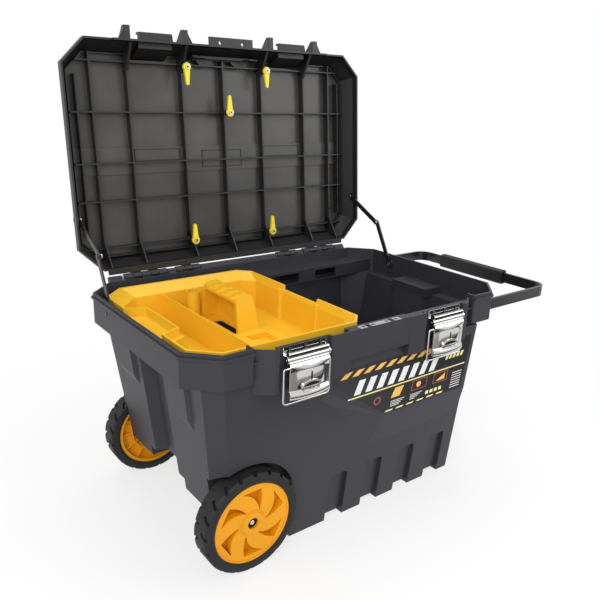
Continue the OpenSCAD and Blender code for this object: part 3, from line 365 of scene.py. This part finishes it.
def lid_panel():
    """Painted sheen: a paler, smoother copy of the lid's black plastic, strongly uneven in tone, on the
    inner face of the lid's panel between the darker ribs, for the panel's glossy highlights.
    """
    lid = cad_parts["lid_shell"]
    lid.data.materials.append(painted_sheen)
    to_closed = open_lid().inverted() @ lid.matrix_world
    for polygon in lid.data.polygons:
        facing = to_closed.to_3x3() @ polygon.normal
        height = (to_closed @ polygon.center).z / MM
        if facing.z < -0.95 and height > LID_PANEL_Z - 5:
            polygon.material_index = 1


# Label, arrows and painted highlight on the front

def label():
    """Dark label on the raised panel: stripes, slanted bars, a rule, small motifs and dashes."""
    wall = front_wall()
    film, low, high = 0.25, 0.25, 0.45
    shape = [(-86, 316), (-86, 290), (48, 200), (256, 200), (256, 316)]
    new_piece("label_film", lambda w: prism(w, shape, 0.02, film), label_dark,
              "chest", wall)

    def stripes(work):
        for i in range(9):
            slant(work, -74 + i * 26, 300, 14, 11, 13, low, high)

    def bars(work):
        for i in range(8):
            slant(work, -38 + i * 26.5, 261, 15, 28, 9, low, high)

    def rule(work):
        brick(work, (-50, 254.5, low), (252, 257, high))
        for i in range(6):
            slant(work, 46 + i * 27, 203, 17, 3, 4, low, high)

    def short_bars(work):
        for i in range(5):
            slant(work, 190 + i * 10.5, 276, 6.5, 10, 3, low, high)
        for i in range(4):
            brick(work, (150 + i * 12, 212, low), (158 + i * 12, 219, high))

    def motifs(work):
        ring(work, 5.6, 8.4, low, high, 40, 22, 234)
        for x in (108, 166):
            for a, b in (
                ((x, 230), (x + 40, 231.6)), ((x, 250), (x + 40, 251.6)),
                ((x, 231.6), (x + 1.6, 250)), ((x + 38.4, 231.6), (x + 40, 250)),
            ):
                brick(work, (*a, low), (*b, high))

    def fillings(work):
        slant(work, 56, 230, 22, 20, 8, low, high)
        disc(work, 126, 241, 6, low, high)
        prism(work, [(174, 234), (198, 234), (198, 247)], low, high)

    def lines(work):
        for i in range(7):
            brick(work, (220, 207 + i * 5.4, low), (248, 208.6 + i * 5.4, high))
        for i in range(4):
            brick(work, (108, 222 - i * 3.4, low), (140 - 6 * i, 223.2 - i * 3.4, high))
            brick(work, (58, 222 - i * 3.4, low), (92 - 4 * i, 223.2 - i * 3.4, high))

    for name, maker, material in (
        ("label_stripes", stripes, label_gold), ("label_bars", bars, label_white),
        ("label_rule", rule, label_pale), ("label_short_bars", short_bars, label_pale),
        ("label_motifs", motifs, label_red), ("label_fillings", fillings, label_gold),
        ("label_lines", lines, label_white),
    ):
        new_piece(name, maker, material, "chest", wall)


def padlock_highlight_and_arrows():
    """Pale plates on the ledge, a painted highlight where its top catches light, with dark arrows that
    point at the padlock holes.
    """
    def ledge_highlight(work):
        for x0, x1 in ((-46, -31), (-21, 21), (31, 46)):
            brick(work, (x0, PADLOCK_Y - 6, FRONT_Z), (x1, PADLOCK_Y + 6, FRONT_Z + 0.12))

    def arrows(work):
        for side in (-1, 1):
            for edge in (-1, 1):
                tip = side * PADLOCK_X + edge * 6.5
                tail = tip + edge * 7
                outline = [(tip, PADLOCK_Y), (tail, PADLOCK_Y - 3.5), (tail, PADLOCK_Y + 3.5)]
                prism(work, outline, FRONT_Z + 0.12, FRONT_Z + 0.24)

    new_piece("padlock_painted_highlight", ledge_highlight, highlight_grey, "chest")
    new_piece("padlock_arrows", arrows, shade_and_print_black, "chest")


# Fasteners

def collar_rivets():
    """Rivet heads outside the collar, where the stays are pinned to it."""
    for side, name in SIDES:
        place = shift(side * RIM_HX, STAY_Y, STAY_Z) @ turn(90 * side, "Y")
        new_piece(f"collar_rivet_{name}", lambda w: disc(w, 0, 0, 4.2, -0.3, 1.2), paint,
                  "chest", place, 0.5)


def cross_shade(work, radius):
    """Cross of two shallow bars for the middle of a screw head, drawn dark as the painted shade of its
    cross recess.
    """
    arm, width = radius * 0.62, radius * 0.2
    brick(work, (-arm, -width, 0), (arm, width, 0.12))
    brick(work, (-width, -arm, 0.005), (width, arm, 0.125))


# Painted shade: dark crosses standing for the cross recesses of the latch and clip screws.
def screw_crosses():
    for side, name in SIDES:
        for i, x in enumerate((-LEVER_HW + 8, 0, LEVER_HW - 8)):
            face = shift(side * LATCH_X + x, PIN_Y + 5.8, PIN_Z + SCREW_UP) @ turn(90, "X")
            new_piece(f"latch_screw_cross_{name}_{i}", lambda w: cross_shade(w, 2.6), shade_and_print_black,
                      "chest", face @ turn(20 + 31 * i, "Z"))
    for i, (x, y) in enumerate(CLIPS):
        face = open_lid() @ shift(x, y, CLIP_SCREW_Z) @ turn(180, "X")
        new_piece(f"clip_screw_cross_{i + 1}", lambda w: cross_shade(w, 4.0), shade_and_print_black,
                  "lid", face @ turn(17 * i, "Z"))


# Wheels

def wheel_frame(side):
    """Frame on a wheel's outer face: z points away from the chest."""
    return shift(WHEEL.x, side * WHEEL_FACE, WHEEL.z) @ turn(-90 * side, "X")


def wheel_detail():
    for side, name in ((-1, "front"), (1, "rear")):
        place = wheel_frame(side)

        def sidewall(work):
            ring(work, HUB_R + 2.2, HUB_R + 3.2, -2.2, -0.5)
            ring(work, HUB_R + 6.0, HUB_R + 6.8, -1.6, 0.1)

        def hub_lips(work):
            ring(work, HUB_R - 3.5, HUB_R - 1.0, -3.5, -1.6)
            ring(work, 20.2, 22.5, -3.5, -1.4, 48)

        def nut_shade(work):
            ring(work, AXLE_END_R, NUT_R - 0.3, AXLE_END - 0.8, AXLE_END + 0.2, 40)

        def axle_end(work):
            dome(work, AXLE_END_R, 2.0, AXLE_END)

        new_piece(f"{name}_nut_shade", nut_shade, shade_and_print_black, "chest", place)
        new_piece(f"{name}_axle_end", axle_end, chrome, "chest", place)
        new_piece(f"{name}_sidewall_beads", sidewall, rubber, f"{name}_wheel", place, 0.3)
        new_piece(f"{name}_hub_lips", hub_lips, orange, f"{name}_wheel", place, 0.4)


# Latches

def arc(rx, ry, start, end, steps=16):
    """Points on part of an ellipse about the origin, between two angles in degrees."""
    turns = [math.radians(start + (end - start) * i / steps) for i in range(steps + 1)]
    return [(rx * math.cos(a), ry * math.sin(a)) for a in turns]


def lever_face(work):
    """Pressed face of the lever, bowed outward across its width, with a raised field and a full foot."""
    foot = [(-63.2, 8.2), (-60.5, 9.8), (-57, 10.3), (-53, 9.4), (-50.5, 7.4), (-49, 6.3), (-46, 6.3)]
    rows = [(y, out, 0, 1.0) for y, out in foot]
    rows += [(-44.8, 6.3, FIELD_UP, 1.0), (-21, 6.3, FIELD_UP, 1.0), (-19.8, 6.3, 0, 1.0)]
    rows += [(-16, 6.6, 0, 0.9), (-13, 8.4, 0, 0.55), (-9.5, 8.8, 0, 0.15)]
    half = LEVER_HW - 0.2
    columns = [half * i / 16 for i in range(-16, 17)]
    front = []
    for y, out, field, share in rows:
        bows = [share * LEVER_BOW * (1 - (x / half) ** 2) for x in columns]
        steps = [field if abs(x) < FIELD_HW else 0 for x in columns]
        front.append([work.verts.new((x, y, out + b + s)) for x, b, s in zip(columns, bows, steps)])
    back = [[work.verts.new((x, row[0], LEVER_BACK)) for x in columns] for row in rows]
    for grid in (front, back):
        for low, high in zip(grid, grid[1:]):
            for i in range(len(columns) - 1):
                work.faces.new((low[i], low[i + 1], high[i + 1], high[i]))
    edges = [(front[0], back[0]), (front[-1], back[-1])]
    edges += [([line[i] for line in front], [line[i] for line in back]) for i in (0, -1)]
    for near, far in edges:
        for i in range(len(near) - 1):
            work.faces.new((near[i], near[i + 1], far[i + 1], far[i]))


def latch_detail():
    """Bowed face, serrated bar, key slot and thumb lip of each latch, with painted shade: dark strips in
    the gaps, a dark mark in the key slot and a dark crescent under the lip.
    """
    for side, name in SIDES:
        place = shift(side * LATCH_X, PIN_Y, PIN_Z) @ turn(90, "X")
        bar = place @ shift(0, BAR_UP, 1) @ turn(-90, "Y")
        lip = place @ shift(0, LIP_Z, FIELD_OUT)

        def serrations(work):
            for i in range(24):
                x = -LEVER_HW + 3 + i * 3.05
                brick(work, (x, 10.6, 2.0), (x + 1.5, 12.5, 4.4))

        def bar_shade(work):
            outline = arc(3.62, 3.62, -75, 12) + arc(3.4, 3.4, 12, -75)
            prism(work, outline, -LEVER_HW + 1, LEVER_HW - 1)

        def plate_shade(work):
            brick(work, (-LEVER_HW - 2, 12.2, -8.0), (LEVER_HW + 2, 18.3, -7.85))

        # Painted shade: a dark mark for the key slot on the raised field.
        def key_slot_shade(work):
            brick(work, (-1.5, -36, FIELD_OUT - 0.4), (1.5, -22, FIELD_OUT + 0.1))

        def lip_edge(work):
            prism(work, arc(19, 9.5, 0, 180) + arc(15.5, 6.2, 180, 0), -1.6, 1.8)

        def lip_shade(work):
            prism(work, arc(15.5, 6.2, 0, 180), -1.4, 0.12)

        lever = f"lever_{name}"
        for piece, maker, material, body, at, edge in (
            ("bar_serrations", serrations, chrome, "chest", place, 0.2),
            ("bar_shade", bar_shade, shade_and_print_black, "chest", bar, 0),
            ("plate_shade", plate_shade, shade_and_print_black, "chest", place, 0),
            ("lever_face", lever_face, chrome, lever, place, 0.3),
            ("key_slot_shade", key_slot_shade, shade_and_print_black, lever, place, 0),
            ("lip_edge", lip_edge, chrome, lever, lip, 0.5),
            ("lip_shade", lip_shade, shade_and_print_black, lever, lip, 0),
        ):
            new_piece(f"{piece}_{name}", maker, material, body, at, edge)


# Pull handle

def grip_ridges():
    def ridges(work):
        root, crest = HANDLE_X + 9.6, HANDLE_X + 10.4
        for i in range(22):
            y = SLEEVE_Y - SLEEVE_LEN / 2 + 5 + i * 8
            outline = [(root, y), (crest, y + 1), (crest, y + 3), (root, y + 4)]
            prism(work, outline, HANDLE_Z - 9, HANDLE_Z + 9)

    new_piece("grip_ridges", ridges, grip_rubber, "handle")


# Lid

def lid_emboss():
    """Raised frames on the lid's inner panel."""
    def frame_lines(work, x0, y0, x1, y1):
        t, z0, z1 = 1.6, LID_PANEL_Z - 4.7, LID_PANEL_Z - 3.0
        for low, high in (
            ((x0, y0), (x1, y0 + t)), ((x0, y1 - t), (x1, y1)),
            ((x0, y0 + t), (x0 + t, y1 - t)), ((x1 - t, y0 + t), (x1, y1 - t)),
        ):
            brick(work, (*low, z0), (*high, z1))

    def frames(work):
        frame_lines(work, -52, -9, 45, 26)
        for x0, x1 in ((-200, -102), (102, 200)):
            frame_lines(work, x0, -14, x1, 9)

    new_piece("lid_emboss_frames", frames, black, "lid", open_lid(), 0.3)


def lid_inside():
    """Deep gussets and a low rib along the back of the lid, and two tongues behind the padlock tab."""
    def gussets(work):
        for x in LID_RIBS:
            outline = [
                (LID_WALL_Y, GUSSET_Z), (LID_WALL_Y - 4, GUSSET_Z), (LID_WALL_Y - 50, LID_PANEL_Z - RIB_H),
                (LID_WALL_Y - 50, LID_PANEL_Z + 0.5), (LID_WALL_Y - 18.2, LID_PANEL_Z + 0.5),
                (LID_WALL_Y, LID_TAPER_Z),
            ]
            across(work, outline, x - RIB_T / 2, x + RIB_T / 2)

    def low_rib(work):
        brick(work, (-LID_RIB_HX, 170.7, LID_PANEL_Z - RIB_H), (LID_RIB_HX, 173.3, LID_PANEL_Z + 0.5))

    def tongues(work):
        step, tip = TONGUE_STEP_Y, TONGUE_TIP_Y
        half = [(60, step), (48, tip), (34, tip), (20, step)]
        outline = [(-TONGUE_HX, TONGUE_ROOT_Y), (TONGUE_HX, TONGUE_ROOT_Y), (TONGUE_HX, step)] + half
        outline += [(-x, y) for x, y in reversed(half)] + [(-TONGUE_HX, step)]
        prism(work, outline, LID_PANEL_Z - 13, LID_PANEL_Z - 10)

    for name, maker in (("gussets", gussets), ("low_rib", low_rib), ("tongues", tongues)):
        new_piece(f"lid_{name}", maker, black, "lid", open_lid(), 0.4)


def hinge_line():
    """Flange along the lid's back edge, and the rail under it between the hinge knuckles."""
    def flange(work):
        outline = [(209, 394.7), (218.1, 394.7), (218.1, 398.2), (209, GUSSET_Z)]
        across(work, outline, -LID_RIB_HX + 30, LID_RIB_HX - 30)

    def rail(work):
        bead = [(HINGE.y + y, HINGE.z + z) for y, z in arc(RAIL_R, RAIL_R, -30, 180, 14)]
        outline = [(RAIL_BACK_Y, RAIL_FOOT_Z), (229, RAIL_SEAT_Z)] + bead
        outline += [(214, RAIL_SEAT_Z), (RAIL_BACK_Y, RAIL_SEAT_Z)]
        for x0, x1 in RAIL_SPANS:
            across(work, outline, x0, x1)

    new_piece("lid_flange", flange, black, "lid", open_lid(), 0.5)
    new_piece("hinge_rail", rail, charcoal, "chest", round_mm=0.4)


def horn_shoulders():
    """Sloped shoulders outside the horns that stand beside the lid's catches."""
    def shoulders(work):
        for side in (-1, 1):
            for edge in (-1, 1):
                foot = side * LATCH_X + edge * HORN_X
                outline = [
                    (foot, -LID_HY + 1), (foot, -LID_HY - HORN_OUT + 1),
                    (foot + edge * 4, -LID_HY - HORN_OUT + 1), (foot + edge * 17, -LID_HY + 1),
                ]
                prism(work, outline, SHOULDER_LOW, SHOULDER_HIGH)

    new_piece("horn_shoulders", shoulders, black, "lid", open_lid(), 0.6)


# Stage

def studio():
    floor_mesh = bpy.data.meshes.new("floor")
    half = 9.0
    corners = [(-half, -half, 0), (half, -half, 0), (half, half, 0), (-half, half, 0)]
    floor_mesh.from_pydata(corners, [], [(0, 1, 2, 3)])
    floor = bpy.data.objects.new("floor", floor_mesh)
    bpy.context.scene.collection.objects.link(floor)
    floor.location.z = -0.0005
    floor_mesh.materials.append(white_floor())
    world = bpy.data.worlds.new("studio")
    world.use_nodes = True
    bpy.context.scene.world = world
    light_world(world.node_tree)
    cards()
    area("key", (-2.7, -2.5, 2.6), 2.2, 90)
    area("fill", (2.6, -2.6, 1.8), 2.0, 30)
    area("top", (0.2, 0.4, 3.6), 2.2, 45)


def cards():
    """Grey and dark cards low in front that only reflections show, for depth in the bright plate."""
    for name, y0, y1, material in (
        ("grey_card", -1.10, -0.68, card_grey), ("dark_card", -0.68, -0.46, shade_and_print_black),
    ):
        mesh = bpy.data.meshes.new(name)
        corners = [(-0.15, y0, 0.01), (1.30, y0, 0.01), (1.30, y1, 0.01), (-0.15, y1, 0.01)]
        mesh.from_pydata(corners, [], [(0, 1, 2, 3)])
        card = bpy.data.objects.new(name, mesh)
        bpy.context.scene.collection.objects.link(card)
        mesh.materials.append(material)
        card.visible_camera = False
        card.visible_diffuse = False
        card.visible_shadow = False


def seen_directly(tree):
    """1 where the camera, a reflection or a view through glass meets the surface."""
    path = tree.nodes.new("ShaderNodeLightPath")
    total = path.outputs["Is Camera Ray"]
    for ray in ("Is Glossy Ray", "Is Transmission Ray"):
        either = tree.nodes.new("ShaderNodeMath")
        either.operation = "MAXIMUM"
        tree.links.new(total, either.inputs[0])
        tree.links.new(path.outputs[ray], either.inputs[1])
        total = either.outputs[0]
    return total


def white_floor():
    """White floor that keeps the chest's shadow and runs into the white behind it."""
    material, tree, surface = shader("floor_white")
    surface.inputs["Base Color"].default_value = (0.92, 0.92, 0.92, 1)
    surface.inputs["Roughness"].default_value = 0.9
    glow = tree.nodes.new("ShaderNodeEmission")
    glow.inputs["Strength"].default_value = 1.0
    place = tree.nodes.new("ShaderNodeTexCoord")
    distance = tree.nodes.new("ShaderNodeVectorMath")
    distance.operation = "LENGTH"
    share = tree.nodes.new("ShaderNodeMapRange")
    share.interpolation_type = "SMOOTHSTEP"
    share.inputs["From Min"].default_value = 0.45
    share.inputs["From Max"].default_value = 1.1
    share.inputs["To Min"].default_value = 0.70
    share.inputs["To Max"].default_value = 1.0
    amount = tree.nodes.new("ShaderNodeMath")
    amount.operation = "MULTIPLY"
    mix = tree.nodes.new("ShaderNodeMixShader")
    tree.links.new(place.outputs["Object"], distance.inputs[0])
    tree.links.new(distance.outputs["Value"], share.inputs["Value"])
    tree.links.new(seen_directly(tree), amount.inputs[0])
    tree.links.new(share.outputs["Result"], amount.inputs[1])
    tree.links.new(amount.outputs[0], mix.inputs["Fac"])
    tree.links.new(surface.outputs["BSDF"], mix.inputs[1])
    tree.links.new(glow.outputs["Emission"], mix.inputs[2])
    tree.links.new(mix.outputs["Shader"], tree.nodes["Material Output"].inputs["Surface"])
    return material


def light_world(tree):
    """White where it is seen, softer where it lights the chest."""
    background = tree.nodes["Background"]
    background.inputs["Color"].default_value = (1, 1, 1, 1)
    level = tree.nodes.new("ShaderNodeMapRange")
    level.inputs["To Min"].default_value = 0.55
    level.inputs["To Max"].default_value = 1.0
    tree.links.new(seen_directly(tree), level.inputs["Value"])
    tree.links.new(level.outputs["Result"], background.inputs["Strength"])


def area(name, place, size, power):
    """Soft square lamp aimed at the chest."""
    lamp = bpy.data.lights.new(name, "AREA")
    lamp.size = size
    lamp.energy = power
    holder = bpy.data.objects.new(name, lamp)
    bpy.context.scene.collection.objects.link(holder)
    holder.location = place
    aim = Vector((0, 0, 0.4)) - Vector(place)
    holder.rotation_euler = aim.to_track_quat("-Z", "Y").to_euler()


def camera():
    """Camera at the photograph's angle, with its small roll."""
    azimuth, elevation, roll = math.radians(-37.58), math.radians(17.74), math.radians(1.92)
    place = Vector((-731.5, -945.3, 750.9)) * MM
    level = math.cos(elevation)
    back = Vector((math.sin(azimuth) * level, -math.cos(azimuth) * level, math.sin(elevation)))
    right = Vector((math.cos(azimuth), math.sin(azimuth), 0))
    up = back.cross(right)
    rolled_right = math.cos(roll) * right + math.sin(roll) * up
    rolled_up = -math.sin(roll) * right + math.cos(roll) * up
    lens = bpy.data.cameras.new("camera")
    lens.sensor_width = 36.0
    lens.lens = 39.28
    holder = bpy.data.objects.new("camera", lens)
    bpy.context.scene.collection.objects.link(holder)
    holder.matrix_world = Matrix((
        (rolled_right.x, rolled_up.x, back.x, place.x),
        (rolled_right.y, rolled_up.y, back.y, place.y),
        (rolled_right.z, rolled_up.z, back.z, place.z),
        (0, 0, 0, 1),
    ))
    bpy.context.scene.camera = holder


dress_cad()
lid_panel()
label()
padlock_highlight_and_arrows()
collar_rivets()
screw_crosses()
wheel_detail()
latch_detail()
grip_ridges()
lid_emboss()
lid_inside()
hinge_line()
horn_shoulders()
studio()
camera()
bpy.context.scene.view_settings.view_transform = "Standard"
